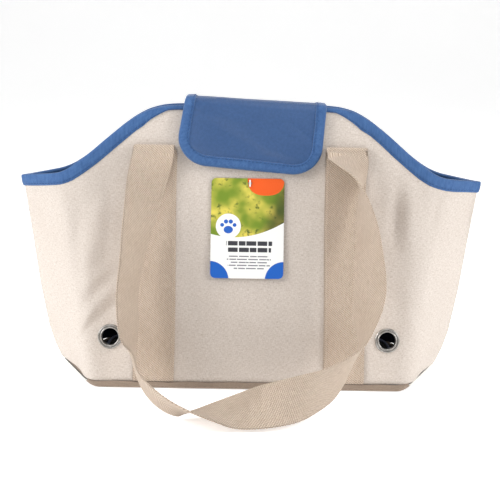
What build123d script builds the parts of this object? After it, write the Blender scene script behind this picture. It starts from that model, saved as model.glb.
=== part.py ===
from build123d import *
import math
import os

# Open-topped pet carrier tote in canvas.  It stands on its base, the long side along X, the front
# towards -Y, and Z is up.  The origin is the middle of the underside of the base.  Millimetres.

# ---- driving dimensions -------------------------------------------------------------------------
HALF_DEPTH = 75.0            # half the depth of the base
LEAN = math.radians(13.05)   # lean of the front and back faces towards each other
BASE_RIM = 5.4               # the base cloth turns up this far to the seam with the panels

CANVAS = 1.2                 # thickness of the outer canvas
FOAM = 1.6                   # thickness of the foam inside the walls
LINING = 0.5                 # thickness of the lining cloth
WALL = CANVAS + FOAM + LINING

# Half width at the side seam and half width of the flat face, by height.
LEVELS = [
    (0.0, 197.0, 160.0),
    (20.0, 206.0, 161.0),
    (40.0, 212.0, 165.0),
    (87.0, 220.0, 170.0),
    (137.0, 226.0, 176.0),
    (199.0, 234.0, 184.0),
    (290.0, 246.0, 192.0),
]

# Height of the top edge, from the middle out to the side seam.
TOP_EDGE = [
    (80.0, 276.0),
    (97.0, 272.5),
    (112.0, 265.5),
    (130.0, 252.5),
    (150.0, 235.5),
    (165.0, 222.5),
    (180.0, 212.0),
    (190.0, 206.0),
    (202.0, 204.0),
    (216.0, 202.0),
    (250.0, 197.5),
]
BINDING = 0.7                # thickness of the binding tape on each face
BINDING_WIDTH = 11.0         # width of the tape on the slopes
BINDING_TOP = 6.0            # width left showing along the middle of the top edge

WEB_WIDTH = 41.0             # handle webbing
WEB = 1.8
LEG_X = 94.5                 # middle of each sewn leg
LEG_TOP = 243.0              # top of the sewn leg, measured up the face

EYELET_X = 138.5
EYELET_UP = 50.0             # measured up the face
EYELET_HOLE = 8.25           # radii
EYELET_BARREL = 9.0
EYELET_FLANGE = 12.2

FLAP_WIDTH = 140.0
FLAP_GAP = 2.4               # inner face of the flap, out from the panels
FLAP_LINING = 0.5
FLAP_PADDING = 2.2
FLAP_SHELL = 0.8
FLAP_TURN = -4.0             # the closed flap sits slightly askew
FLAP_MIDDLE = 4.0
FLAP_BOTTOM = 215.0

TAG_WIDTH = 74.0
TAG_HEIGHT = 100.0
TAG_TOP = 210.0              # measured up the face
TAG_X = -1.0

# Route of a free handle: x, distance up the face, distance out from the face, turn of the tape.
ROUTE = [
    (-97, 240, 5, 0),
    (-97.5, 233, 6.6, -3),
    (-99, 224, 9.5, -9),
    (-105, 196, 16, -30),
    (-110, 161, 24, -50),
    (-115, 124, 28, -64),
    (-118, 87, 31, -66),
    (-116, 56, 33, -68),
    (-113, 35, 34, -93),
    (-104, 15, 53, -112),
    (-86, 2.5, 84, -121),
    (-64, -6, 101, -114),
    (-43, -10, 96, -90),
    (-18, -9, 90, -58),
    (8, -4, 97, -31),
    (33, 0, 92, -13),
    (58, 6, 76, 14),
    (79, 13, 56, 38),
    (99, 31, 43, 72),
    (112, 51, 38, 92),
    (113, 73, 35, 122),
    (117, 100, 33, 136),
    (115, 138, 30, 124),
    (111, 174, 27, 108),
    (107, 201, 27, 86),
    (100, 221, 19, 44),
    (97.5, 228, 14, 26),
    (95.5, 234.5, 8.5, 8),
    (95, 240, 5, 0),
]

SIN = math.sin(LEAN)
COS = math.cos(LEAN)
TAN = math.tan(LEAN)
FRONT = Plane(origin=(0, -HALF_DEPTH, 0), x_dir=(1, 0, 0), z_dir=(0, -COS, SIN))

os.makedirs("parts", exist_ok=True)


def save(piece, name):
    """Name a finished solid and write it out."""
    piece.part.label = name
    export_step(piece.part, "parts/" + name + ".step")


def turned(shape):
    """The same shape on the other side of the bag."""
    return Rot(0, 0, 180) * shape


# ---- the body shape, as nested closed solids -----------------------------------------------------
def widths(height):
    """Half width at the seam and half width of the flat face at a height."""
    for low, high in zip(LEVELS, LEVELS[1:]):
        if height <= high[0]:
            share = (height - low[0]) / (high[0] - low[0])
            seam = low[1] + share * (high[1] - low[1])
            flat = low[2] + share * (high[2] - low[2])
            return seam, flat
    return LEVELS[-1][1], LEVELS[-1][2]


def outline(height, inset):
    """Corners of the six-sided plan at a height, moved in by inset."""
    seam, flat = widths(height)
    depth = HALF_DEPTH - TAN * height
    run = seam - flat
    slope = math.hypot(run, depth)
    tip = seam - inset * slope / depth
    face = depth - inset / COS
    corner = seam - (inset * slope + run * face) / depth
    return [
        (tip, 0),
        (corner, face),
        (-corner, face),
        (-tip, 0),
        (-corner, -face),
        (corner, -face),
    ]


def body(inset, low, high):
    """The closed solid inside the walls, from one height to another."""
    heights = [low] + [row[0] for row in LEVELS if low < row[0] < high] + [high]
    with BuildPart() as solid:
        for height in heights:
            with BuildSketch(Plane.XY.offset(height)):
                with BuildLine():
                    Polyline(*outline(height, inset), close=True)
                make_face()
        loft(ruled=True)
    return solid.part


def under_edge(drop, middle_drop):
    """Everything below the top edge lowered by drop, and by middle_drop in the middle."""
    points = [(TOP_EDGE[0][0] - 6, TOP_EDGE[0][1] - middle_drop)]
    for before, here, after in zip(TOP_EDGE, TOP_EDGE[1:], TOP_EDGE[2:]):
        run = after[0] - before[0]
        rise = after[1] - before[1]
        length = math.hypot(run, rise)
        points.append((here[0] + drop * rise / length, here[1] - drop * run / length))
    points.append((262.0, TOP_EDGE[-1][1] - drop))
    right = points + [(262.0, -10.0)]
    left = [(-x, z) for x, z in reversed(right)]
    with BuildPart() as solid:
        with BuildSketch(Plane.XZ):
            with BuildLine():
                Polyline(*left, *right, close=True)
            make_face()
        extrude(amount=120, both=True)
    return solid.part


def half(sign):
    """The half space in front (-1) or behind (+1) the side seams."""
    with BuildPart() as solid:
        with Locations((0, sign * 100, 150)):
            Box(600, 200, 400)
    return solid.part


TOP = 284.0
front_half = half(-1)
back_half = half(1)
below_top = under_edge(0, 0)
with BuildPart() as bores:
    for side in (-1, 1):
        with BuildSketch(FRONT.offset(-12)):
            with Locations((side * EYELET_X, EYELET_UP)):
                Circle(EYELET_BARREL + 0.1)
        extrude(amount=30)
eyelet_bores = bores.part + turned(bores.part)


def wall(outer, inner, low):
    """One layer of the wall, cut to the top edge, with the eyelet holes."""
    layer = body(outer, low, TOP) - body(inner, low, TOP)
    return (layer & below_top) - eyelet_bores


canvas = wall(0, CANVAS, BASE_RIM)
with BuildPart() as front_panel:
    add(canvas)
    add(front_half, mode=Mode.INTERSECT)
save(front_panel, "front_panel")
with BuildPart() as back_panel:
    add(canvas)
    add(back_half, mode=Mode.INTERSECT)
save(back_panel, "back_panel")

foam = wall(CANVAS, CANVAS + FOAM, BASE_RIM)
with BuildPart() as front_padding:
    add(foam)
    add(front_half, mode=Mode.INTERSECT)
save(front_padding, "front_padding")
with BuildPart() as back_padding:
    add(foam)
    add(back_half, mode=Mode.INTERSECT)
save(back_padding, "back_padding")

lining = wall(CANVAS + FOAM, WALL, BASE_RIM)
with BuildPart() as front_lining:
    add(lining)
    add(front_half, mode=Mode.INTERSECT)
save(front_lining, "front_lining")
with BuildPart() as back_lining:
    add(lining)
    add(back_half, mode=Mode.INTERSECT)
save(back_lining, "back_lining")

# ---- base: cloth tray, foam, lining, board and cushion -------------------------------------------
tray_outside = body(0, 0, BASE_RIM)
tray_inside = body(CANVAS, CANVAS, BASE_RIM)
with BuildPart() as base_panel:
    add(tray_outside)
    add(tray_inside, mode=Mode.SUBTRACT)
save(base_panel, "base_panel")

base_foam_sheet = body(CANVAS + 0.2, CANVAS, CANVAS + FOAM)
with BuildPart() as base_padding:
    add(base_foam_sheet)
save(base_padding, "base_padding")

base_lining_sheet = body(CANVAS + 0.2, CANVAS + FOAM, CANVAS + FOAM + LINING)
with BuildPart() as base_lining:
    add(base_lining_sheet)
save(base_lining, "base_lining")

BOARD_BOTTOM = WALL + 0.4
BOARD = 2.4
with BuildPart() as base_board:
    with BuildSketch(Plane.XY.offset(BOARD_BOTTOM)):
        RectangleRounded(308, 134, 14)
    extrude(amount=BOARD)
save(base_board, "base_board")

CUSHION_BOTTOM = BOARD_BOTTOM + BOARD + 0.4
CUSHION = 18.0
with BuildPart() as base_cushion:
    with BuildSketch(Plane.XY.offset(CUSHION_BOTTOM)):
        RectangleRounded(314, 130, 24)
    extrude(amount=CUSHION)
    fillet(base_cushion.faces().filter_by(Axis.Z).edges(), 7.5)
save(base_cushion, "base_cushion")

# ---- binding tape folded over the top edge --------------------------------------------------------
bound_wall = (body(0, BASE_RIM, TOP) - body(WALL, BASE_RIM, TOP)) & below_top
tape_ring = body(-BINDING, BASE_RIM, TOP) - body(WALL + BINDING, BASE_RIM, TOP)
tape_band = (tape_ring & under_edge(-BINDING, -BINDING)) - under_edge(BINDING_WIDTH, BINDING_TOP)
tape = tape_band - bound_wall
with BuildPart() as front_binding:
    add(tape)
    add(front_half, mode=Mode.INTERSECT)
save(front_binding, "front_binding")
with BuildPart() as back_binding:
    add(tape)
    add(back_half, mode=Mode.INTERSECT)
save(back_binding, "back_binding")

# ---- eyelets ----------------------------------------------------------------------------------------
with BuildPart() as front_eyelets:
    for side in (-1, 1):
        spot = (side * EYELET_X, EYELET_UP)
        with BuildSketch(FRONT.offset(0.05)):
            with Locations(spot):
                Circle(EYELET_FLANGE)
        extrude(amount=0.9)
        with BuildSketch(FRONT.offset(0.95)):
            with Locations(spot):
                Circle(EYELET_FLANGE - 1.6)
        extrude(amount=0.9)
        with BuildSketch(FRONT.offset(-WALL - 1.4)):
            with Locations(spot):
                Circle(EYELET_BARREL)
        extrude(amount=WALL + 1.5)
        with BuildSketch(FRONT.offset(-WALL - 2.0)):
            with Locations(spot):
                Circle(EYELET_BARREL + 0.8)
        extrude(amount=0.6)
    for side in (-1, 1):
        with BuildSketch(FRONT.offset(-12)):
            with Locations((side * EYELET_X, EYELET_UP)):
                Circle(EYELET_HOLE)
        extrude(amount=30, mode=Mode.SUBTRACT)
back_eyelets = turned(front_eyelets.part)
with BuildPart() as eyelets:
    add(front_eyelets.part)
    add(back_eyelets)
save(eyelets, "eyelets")

with BuildPart() as front_washers:
    for side in (-1, 1):
        with BuildSketch(FRONT.offset(-WALL - 1.2)):
            with Locations((side * EYELET_X, EYELET_UP)):
                Circle(EYELET_FLANGE - 0.6)
                Circle(EYELET_BARREL + 0.1, mode=Mode.SUBTRACT)
        extrude(amount=0.9)
back_washers = turned(front_washers.part)
with BuildPart() as eyelet_washers:
    add(front_washers.part)
    add(back_washers)
save(eyelet_washers, "eyelet_washers")


# ---- handles ----------------------------------------------------------------------------------------
def sewn_leg(x):
    """Webbing stitched flat to the front face, from the base seam up to the fold."""
    with BuildPart() as leg:
        with BuildSketch(FRONT.offset(0.05)):
            with Locations((x, (LEG_TOP + BASE_RIM + 1) / 2)):
                Rectangle(WEB_WIDTH, LEG_TOP - BASE_RIM - 1)
        extrude(amount=WEB - 0.2)
    return leg.part


left_leg = sewn_leg(-LEG_X)
right_leg = sewn_leg(LEG_X)
back_left_leg = turned(right_leg)
back_right_leg = turned(left_leg)
with BuildPart() as front_strap_left:
    add(left_leg)
save(front_strap_left, "front_strap_left")
with BuildPart() as front_strap_right:
    add(right_leg)
save(front_strap_right, "front_strap_right")
with BuildPart() as back_strap_left:
    add(back_left_leg)
save(back_strap_left, "back_strap_left")
with BuildPart() as back_strap_right:
    add(back_right_leg)
save(back_strap_right, "back_strap_right")


def smooth(rows, steps):
    """Points on a Catmull-Rom curve through the rows."""
    points = [Vector(*row[:3]) for row in rows]
    turns = [row[3] for row in rows]
    points = [points[0] * 2 - points[1]] + points + [points[-1] * 2 - points[-2]]
    turns = [2 * turns[0] - turns[1]] + turns + [2 * turns[-1] - turns[-2]]
    out = []
    for index in range(1, len(points) - 2):
        last = index == len(points) - 3
        for step in range(steps + 1 if last else steps):
            t = step / steps
            weights = (
                (-t + 2 * t**2 - t**3) / 2,
                (2 - 5 * t**2 + 3 * t**3) / 2,
                (t + 4 * t**2 - 3 * t**3) / 2,
                (-(t**2) + t**3) / 2,
            )
            place = Vector(0, 0, 0)
            turn = 0.0
            for offset, weight in enumerate(weights):
                place += points[index - 1 + offset] * weight
                turn += turns[index - 1 + offset] * weight
            out.append((place, turn))
    return out


def free_handle():
    """Free webbing between the two folds, lofted through flat sections along its route."""
    stations = smooth(ROUTE, 3)
    away = Vector(0, 0, 1)
    with BuildPart() as strap:
        for index, (place, turn) in enumerate(stations):
            before = stations[max(index - 1, 0)][0]
            after = stations[min(index + 1, len(stations) - 1)][0]
            ahead = (after - before).normalized()
            level = away.cross(ahead).normalized()
            upright = (away - ahead * away.dot(ahead)).normalized()
            angle = math.radians(turn)
            across = level * math.cos(angle) + upright * math.sin(angle)
            local = Plane(origin=place, x_dir=across, z_dir=ahead)
            section = Plane(FRONT.location * local.location)
            with BuildSketch(section):
                Rectangle(WEB_WIDTH, WEB)
        loft(ruled=True)
    return strap.part


free_webbing = free_handle()
back_webbing = turned(free_webbing)
with BuildPart() as front_handle:
    add(free_webbing)
save(front_handle, "front_handle")
with BuildPart() as back_handle:
    add(back_webbing)
save(back_handle, "back_handle")


# ---- closing flap -----------------------------------------------------------------------------------
def flap_core(grow):
    """The folded shape over both panels, grown outwards, as a solid along X."""
    low = 190.0
    top = TOP_EDGE[0][1] + BINDING
    with BuildPart() as solid:
        with BuildSketch(Plane.YZ):
            with BuildLine():
                Polyline(
                    (-HALF_DEPTH + TAN * low, low),
                    (-HALF_DEPTH + TAN * top, top),
                    (HALF_DEPTH - TAN * top, top),
                    (HALF_DEPTH - TAN * low, low),
                    close=True,
                )
            make_face()
            offset(amount=grow, kind=Kind.ARC)
        extrude(amount=120, both=True)
    return solid.part


def flap_outline(grow):
    """Front outline of the flap as a prism along Y, ending behind at the hinge seam."""
    with BuildPart() as solid:
        with BuildSketch(Plane.XZ):
            with Locations((FLAP_MIDDLE, FLAP_BOTTOM + 70)):
                RectangleRounded(FLAP_WIDTH + 2 * grow, 140 + 2 * grow, 28 + grow, rotation=FLAP_TURN)
        extrude(amount=120, both=True)
        with Locations((0, 60, 224)):
            Box(400, 120, 100, mode=Mode.SUBTRACT)
    return solid.part


flap_shape = flap_outline(0)
lining_out = FLAP_GAP + FLAP_LINING
padding_out = lining_out + FLAP_PADDING
shell_out = padding_out + FLAP_SHELL

lining_sheet = (flap_core(lining_out) - flap_core(FLAP_GAP)) & flap_shape
with BuildPart() as flap_lining:
    add(lining_sheet)
save(flap_lining, "flap_lining")

padding_sheet = (flap_core(padding_out) - flap_core(lining_out)) & flap_shape
with BuildPart() as flap_padding:
    add(padding_sheet)
save(flap_padding, "flap_padding")

shell_sheet = (flap_core(shell_out) - flap_core(padding_out)) & flap_shape
with BuildPart() as flap_shell:
    add(shell_sheet)
save(flap_shell, "flap_shell")

bound_flap = (flap_core(shell_out) - flap_core(FLAP_GAP)) & flap_shape
flap_tape = (flap_core(shell_out + 0.6) - flap_core(FLAP_GAP - 0.6)) & flap_outline(0.7)
flap_tape = flap_tape - flap_outline(-9.5) - bound_flap
with BuildPart() as flap_binding:
    add(flap_tape)
save(flap_binding, "flap_binding")

with BuildPart() as flap_hook_patch:
    with BuildSketch(FRONT.offset(FLAP_GAP - 1.0)):
        with Locations((2, 246)):
            RectangleRounded(84, 20, 3)
    extrude(amount=1.0)
save(flap_hook_patch, "flap_hook_patch")

with BuildPart() as front_loop_patch:
    with BuildSketch(FRONT.offset(0.05)):
        with Locations((2, 246)):
            RectangleRounded(88, 22, 3)
    extrude(amount=0.9)
save(front_loop_patch, "front_loop_patch")

# ---- swing tag and its pin ----------------------------------------------------------------------------
TAG_OUT = 0.9
with BuildPart() as swing_tag:
    with BuildSketch(FRONT.offset(TAG_OUT)):
        with Locations((TAG_X, TAG_TOP - TAG_HEIGHT / 2)):
            RectangleRounded(TAG_WIDTH, TAG_HEIGHT, 5)
        with Locations((TAG_X, TAG_TOP - 5)):
            Circle(1.6, mode=Mode.SUBTRACT)
    extrude(amount=0.5)
save(swing_tag, "swing_tag")

with BuildPart() as swing_tag_pin:
    with BuildSketch(FRONT.offset(0.05)):
        with Locations((TAG_X, TAG_TOP - 5)):
            Circle(0.6)
    extrude(amount=2.0)
    with BuildSketch(FRONT.offset(1.8)):
        with Locations((TAG_X, TAG_TOP - 5)):
            RectangleRounded(1.6, 7, 0.7)
    extrude(amount=0.9)
save(swing_tag_pin, "swing_tag_pin")
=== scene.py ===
import bmesh
import bpy
import math
import numpy as np
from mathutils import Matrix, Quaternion, Vector


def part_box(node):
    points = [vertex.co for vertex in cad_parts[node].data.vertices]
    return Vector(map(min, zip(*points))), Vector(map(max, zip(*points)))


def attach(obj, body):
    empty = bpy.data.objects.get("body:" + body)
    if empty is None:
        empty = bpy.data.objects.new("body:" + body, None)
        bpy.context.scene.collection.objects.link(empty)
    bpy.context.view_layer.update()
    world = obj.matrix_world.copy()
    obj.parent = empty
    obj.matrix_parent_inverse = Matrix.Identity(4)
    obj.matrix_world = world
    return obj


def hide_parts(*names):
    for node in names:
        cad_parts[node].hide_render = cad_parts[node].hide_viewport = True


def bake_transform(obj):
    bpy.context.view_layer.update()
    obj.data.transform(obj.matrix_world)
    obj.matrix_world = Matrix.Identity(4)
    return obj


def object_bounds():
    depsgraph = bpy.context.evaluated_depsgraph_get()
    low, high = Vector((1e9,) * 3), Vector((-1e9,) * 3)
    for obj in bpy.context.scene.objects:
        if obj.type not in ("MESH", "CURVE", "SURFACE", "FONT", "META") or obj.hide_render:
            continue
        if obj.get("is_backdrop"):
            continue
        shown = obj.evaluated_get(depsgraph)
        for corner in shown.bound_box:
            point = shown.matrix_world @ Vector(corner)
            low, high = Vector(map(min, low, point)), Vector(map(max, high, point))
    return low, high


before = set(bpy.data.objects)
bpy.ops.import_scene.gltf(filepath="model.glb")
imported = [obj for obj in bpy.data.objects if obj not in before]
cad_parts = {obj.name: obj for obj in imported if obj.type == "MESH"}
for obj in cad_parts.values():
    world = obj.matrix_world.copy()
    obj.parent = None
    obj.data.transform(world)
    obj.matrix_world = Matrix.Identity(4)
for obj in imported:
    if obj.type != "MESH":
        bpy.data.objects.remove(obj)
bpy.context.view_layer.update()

# ---- dimensions, millimetres
LEAN = math.radians(13.05)   # of the front and back faces
SIN, COS, TAN = math.sin(LEAN), math.cos(LEAN), math.tan(LEAN)
DEPTH = 75.0                 # half depth at the ground
RIM = 5.4                    # height where the walls leave the base cloth
WALL = 3.3                   # canvas, padding and lining together
EYE_X, EYE_S = 138.5, 50.0   # eyelet centres, across and up the face
LEG_X, WEB_W = 94.5, 41.0    # sewn webbing, middle and width
CORNER = 0.72                # share of the way to the side seam that the flat face takes
# height, half width at the side seam, half width of the flat face
LEVEL = np.array([(0, 197, 160), (20, 206, 161), (40, 212, 165), (87, 220, 170), (137, 226, 176),
                  (199, 234, 184), (290, 246, 192)], float)
# distance from the middle, height of the top edge
EDGE = np.array([(0, 273.8), (80, 273.8), (97, 271.2), (112, 265), (130, 252.5), (150, 235.5),
                 (165, 222.5), (180, 212), (190, 206), (202, 204), (216, 202), (236, 199.3)], float)
# soft ridges and valleys of the walls: start, end, width, height
CREASES = [((-190, 42), (-130, 104), 7, 2.6), ((-181, 36), (-121, 96), 5, -2.0),
           ((147, 200), (142, 150), 7, -2.0), ((160, 205), (158, 140), 8, 2.2),
           ((192, 200), (182, 165), 6, -2.0), ((178, 36), (192, 20), 4, 1.8),
           ((170, 90), (196, 40), 9, -1.6), ((-150, 190), (-158, 120), 9, 1.5),
           ((-172, 175), (-176, 100), 8, -1.8), ((-196, 70), (-140, 120), 8, 2.0),
           ((184, 40), (196, 62), 4, 1.6), ((176, 34), (190, 58), 4, -1.5),
           ((-60, 100), (45, 82), 11, 0.9), ((-58, 62), (52, 44), 12, -0.8),
           ((40, 96), (66, 48), 9, 0.8), ((-66, 205), (-52, 130), 9, -0.8)]


def edge_height(x):
    """Height of the top edge at a distance from the middle, softened."""
    x = np.abs(x)
    return sum(np.interp(np.abs(x + d), EDGE[:, 0], EDGE[:, 1]) for d in (-9, -4.5, 0, 4.5, 9)) / 5


def plan(t, z, inset):
    """x and depth of the wall's outer face, moved in by inset; t runs -1..1 from seam to seam."""
    a, sign = np.abs(t), np.sign(t)
    seam = np.interp(z, LEVEL[:, 0], LEVEL[:, 1])
    flat = np.interp(z, LEVEL[:, 0], LEVEL[:, 2])
    depth = DEPTH - TAN * z
    run = seam - flat
    slope = np.hypot(run, depth)
    tip = seam - inset * slope / depth
    face = depth - inset / COS
    corner = seam - (inset * slope + run * face) / depth
    reach = np.minimum(0.055, 1 - a)   # the corner of the plan is rounded over this much of t
    x = y = 0
    for share in (-1, -0.66, -0.33, 0, 0.33, 0.66, 1):
        b = a + share * reach
        f = np.clip((b - CORNER) / (1 - CORNER), 0, 1)
        bx = np.where(b < CORNER, corner * b / CORNER, corner + (tip - corner) * f)
        x = x + bx / 7
        y = y + face * (1 - f) / 7
    return sign * x, y


def hills(x, y, seed, scale):
    """Smooth repeatable noise, about -1..1."""
    r = np.random.default_rng(seed)
    out = 0
    for _ in range(7):
        k = r.normal(size=2) / scale
        out = out + np.sin(k[0] * x + k[1] * y + r.uniform(0, 6.28))
    return out / 3.2


def crease(x, s, p, q, width, depth):
    """A soft ridge (or valley, if depth is negative) along the line from p to q."""
    d = np.array(q, float) - p
    length = np.hypot(*d)
    d = d / length
    along = (x - p[0]) * d[0] + (s - p[1]) * d[1]
    off = (x - p[0]) * -d[1] + (s - p[1]) * d[0]
    fade = 1 / (1 + np.exp(-along / 7)) / (1 + np.exp((along - length) / 7))
    return depth * np.exp(-(off / width) ** 2) * fade


def relief(x, z, front):
    """How far the cloth stands out from the plain wall, in millimetres."""
    s = z / COS
    seed = 11 if front else 31
    far = np.clip((np.abs(x) - 115) / 60, 0, 1)
    out = (0.45 + 1.7 * far) * hills(x, s, seed, 30) + (0.2 + 0.45 * far) * hills(x, s, seed + 1, 11)
    out = out + 0.08 * hills(x, s, seed + 2, 4)
    mirrored = x * (1 if front else -1)
    for start, end, width, height in CREASES:
        out = out + crease(mirrored, s, start, end, width, height)
    calm = np.exp(-(((np.abs(x) - EYE_X) ** 2 + (s - EYE_S) ** 2) / 24 ** 2) ** 2)
    if front:
        calm = np.maximum(calm, np.exp(-(((x + 1) / 52) ** 8 + ((s - 170) / 85) ** 8)))
    out = out * (1 - 0.93 * calm)
    low = z - RIM
    out = out + 4.5 * np.exp(-(low / 15) ** 2) * np.exp(-((np.abs(x) - 182) / 13) ** 2)
    out = out - 1.3 * np.exp(-(low / 2.2) ** 2) + 0.5 * np.exp(-((low - 6) / 4) ** 2)
    return out


def wall_at(t, z, inset, front):
    """Points of the wall at plan place t, height z and inset from the outer face."""
    sign = -1 if front else 1
    x, y = plan(t, z, inset)
    point = np.stack([x, sign * y, z], -1)
    x1, y1 = plan(t + 0.004, z, 0)
    x0, y0 = plan(t - 0.004, z, 0)
    tx, ty = x1 - x0, (y1 - y0) * sign
    rise = SIN * np.hypot(tx, ty) / COS * np.clip(1.2 - np.abs(t), 0, 1)
    normal = np.stack([ty * sign, tx * sign, rise], -1)
    normal = normal / np.linalg.norm(normal, axis=-1, keepdims=True)
    fade = np.clip((1 - np.abs(t)) / 0.03, 0, 1)
    return point + normal * (relief(x, z, front) * fade)[..., None]


def t_at(x, z):
    """Plan place of a point x on the flat part of the face."""
    return x * CORNER / np.interp(z, LEVEL[:, 0], LEVEL[:, 2])


def on_face(x, s, out, front):
    """Point of the flat face at x, distance s up the face, standing out by out."""
    z = s * COS + 0 * x
    return wall_at(t_at(x, z), z, -out, front)


def panel_point(x, s, n, front=True):
    """Point given by x, distance up the front plane and distance out from it."""
    y = -DEPTH + SIN * s - COS * n
    z = COS * s + SIN * n
    p = np.stack(np.broadcast_arrays(x, y, z), -1).astype(float)
    return p if front else p * np.array([-1, -1, 1])


# ---- meshes
def mesh(name, verts, faces, uv=None):
    """A smooth-shaded object from points in millimetres."""
    data = bpy.data.meshes.new(name)
    data.from_pydata((np.asarray(verts, float) / 1000).tolist(), [], [tuple(map(int, f)) for f in faces])
    data.shade_smooth()
    if uv is not None:
        layer = data.uv_layers.new(name="UVMap")
        index = np.empty(len(data.loops), np.int32)
        data.loops.foreach_get("vertex_index", index)
        layer.data.foreach_set("uv", np.asarray(uv, float)[index].ravel())
    data.update()
    obj = bpy.data.objects.new(name, data)
    bpy.context.scene.collection.objects.link(obj)
    return obj


def slab(name, outer, inner, uv, keep=None, wrap=False):
    """A closed solid between two grids of points; keep drops some of the grid's quads."""
    rows, cols = outer.shape[:2]
    index = np.arange(rows * cols).reshape(rows, cols)
    if wrap:
        index = np.concatenate([index, index[:, :1]], 1)
    a, b, c, d = index[:-1, :-1], index[:-1, 1:], index[1:, 1:], index[1:, :-1]
    quads = np.stack([a, b, c, d], -1).reshape(-1, 4)
    if keep is not None:
        quads = quads[keep.ravel()]
    n = rows * cols
    edges = np.concatenate([quads[:, [0, 1]], quads[:, [1, 2]], quads[:, [2, 3]], quads[:, [3, 0]]])
    key = np.sort(edges, 1)
    _, first, count = np.unique(key, axis=0, return_index=True, return_counts=True)
    rim = edges[first[count == 1]]
    sides = np.stack([rim[:, 1], rim[:, 0], rim[:, 0] + n, rim[:, 1] + n], -1)
    faces = np.concatenate([quads, quads[:, ::-1] + n, sides])
    verts = np.concatenate([outer.reshape(-1, 3), inner.reshape(-1, 3)])
    uvs = np.concatenate([uv.reshape(-1, 2)] * 2)
    used = np.unique(faces)
    remap = np.full(2 * n, -1)
    remap[used] = np.arange(len(used))
    return mesh(name, verts[used], remap[faces], uvs[used])


def ring_faces(first, rings, around, closed=False):
    """Quads between neighbouring rings of points; closed joins the last ring to the first."""
    faces = []
    for k in range(rings if closed else rings - 1):
        here, there = first + around * k, first + around * ((k + 1) % rings)
        for m in range(around):
            n = (m + 1) % around
            faces.append((here + m, here + n, there + n, there + m))
    return faces


def tube(name, rings, uv):
    """A skin through rings of points, closed at both ends; rings has shape (count, around, 3)."""
    count, around = rings.shape[:2]
    faces = ring_faces(0, count, around)
    faces.append(tuple(range(around))[::-1])
    faces.append(tuple(range((count - 1) * around, count * around)))
    return mesh(name, rings.reshape(-1, 3), faces, uv.reshape(-1, 2))


def face_out(obj):
    """Turns the faces so that they all look outwards."""
    bm = bmesh.new()
    bm.from_mesh(obj.data)
    bmesh.ops.recalc_face_normals(bm, faces=bm.faces)
    bm.to_mesh(obj.data)
    bm.free()
    return obj


STITCH, STITCH_GAP, THREAD_R = 2.7, 1.1, 0.34
STITCH_SIDES = 6
# along a stitch: place, thickness and lift off the cloth
STITCH_SHAPE = np.array([(0, 0.25, -0.35), (0.12, 0.85, 0.1), (0.5, 1, 0.28), (0.88, 0.85, 0.1),
                         (1, 0.25, -0.35)])


def steps_along(points):
    """Distance from the first point to each point of a path."""
    return np.concatenate([[0], np.cumsum(np.linalg.norm(np.diff(points, axis=0), axis=1))])


def grid_uv(down, across):
    """Texture places, in metres, for a grid with these distances along its two ways."""
    return np.stack(np.meshgrid(down, across, indexing="ij"), -1) / 1000


def stitches(name, path, out):
    """One row of thread stitches along a path of points; out is the way off the cloth there."""
    path, out = np.asarray(path, float), np.asarray(out, float)
    along = steps_along(path)
    count = max(1, int(along[-1] / (STITCH + STITCH_GAP)))
    starts = (np.arange(count) + 0.15) * along[-1] / count
    ring = [(math.cos(a), math.sin(a)) for a in np.linspace(0, 2 * math.pi, STITCH_SIDES, endpoint=False)]
    shares, sizes, lifts = STITCH_SHAPE.T
    verts, faces = [], []
    for start in starts:
        here = start + shares * STITCH
        p = np.stack([np.interp(here, along, path[:, k]) for k in range(3)], -1)
        o = np.stack([np.interp(here, along, out[:, k]) for k in range(3)], -1)
        o /= np.linalg.norm(o, axis=1, keepdims=True)
        d = p[-1] - p[0]
        d /= max(np.linalg.norm(d), 1e-9)
        w = np.cross(d, o)
        base = len(verts)
        for k in range(len(shares)):
            c = p[k] + o[k] * lifts[k]
            for cx, cy in ring:
                verts.append(c + THREAD_R * sizes[k] * (w[k] * cx + o[k] * cy))
        faces += ring_faces(base, len(shares), STITCH_SIDES)
        faces.append(tuple(range(base, base + STITCH_SIDES))[::-1])
        faces.append(tuple(range(len(verts) - STITCH_SIDES, len(verts))))
    return face_out(mesh(name, verts, faces))


# ---- walls
NU, NV = 291, 137     # grid of the canvas and the lining
HOLE, FOAM_HOLE = 10.2, 14.5


def top_line(t):
    """Height of the wall's top edge at the plan places t."""
    top = np.full(len(t), 230.0)
    for _ in range(25):
        top = 0.5 * top + 0.5 * edge_height(plan(t, top, 0)[0])
    return top


def wall_grid(nu, nv):
    """Plan places and heights of a grid over a wall."""
    t = np.linspace(-1, 1, nu)
    v = np.linspace(0, 1, nv)[:, None]
    return np.broadcast_to(t, (nv, nu)), RIM + v * (top_line(t) - RIM)


pieces = {}


def stands_for(obj, node, body):
    """Puts a visible piece in the place of a CAD node, moving with a body."""
    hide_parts(node)
    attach(obj, body)
    pieces[node] = obj


def added(obj, name, body):
    """A visible piece with no CAD node of its own, moving with a body."""
    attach(obj, body)
    pieces[name] = obj


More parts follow.
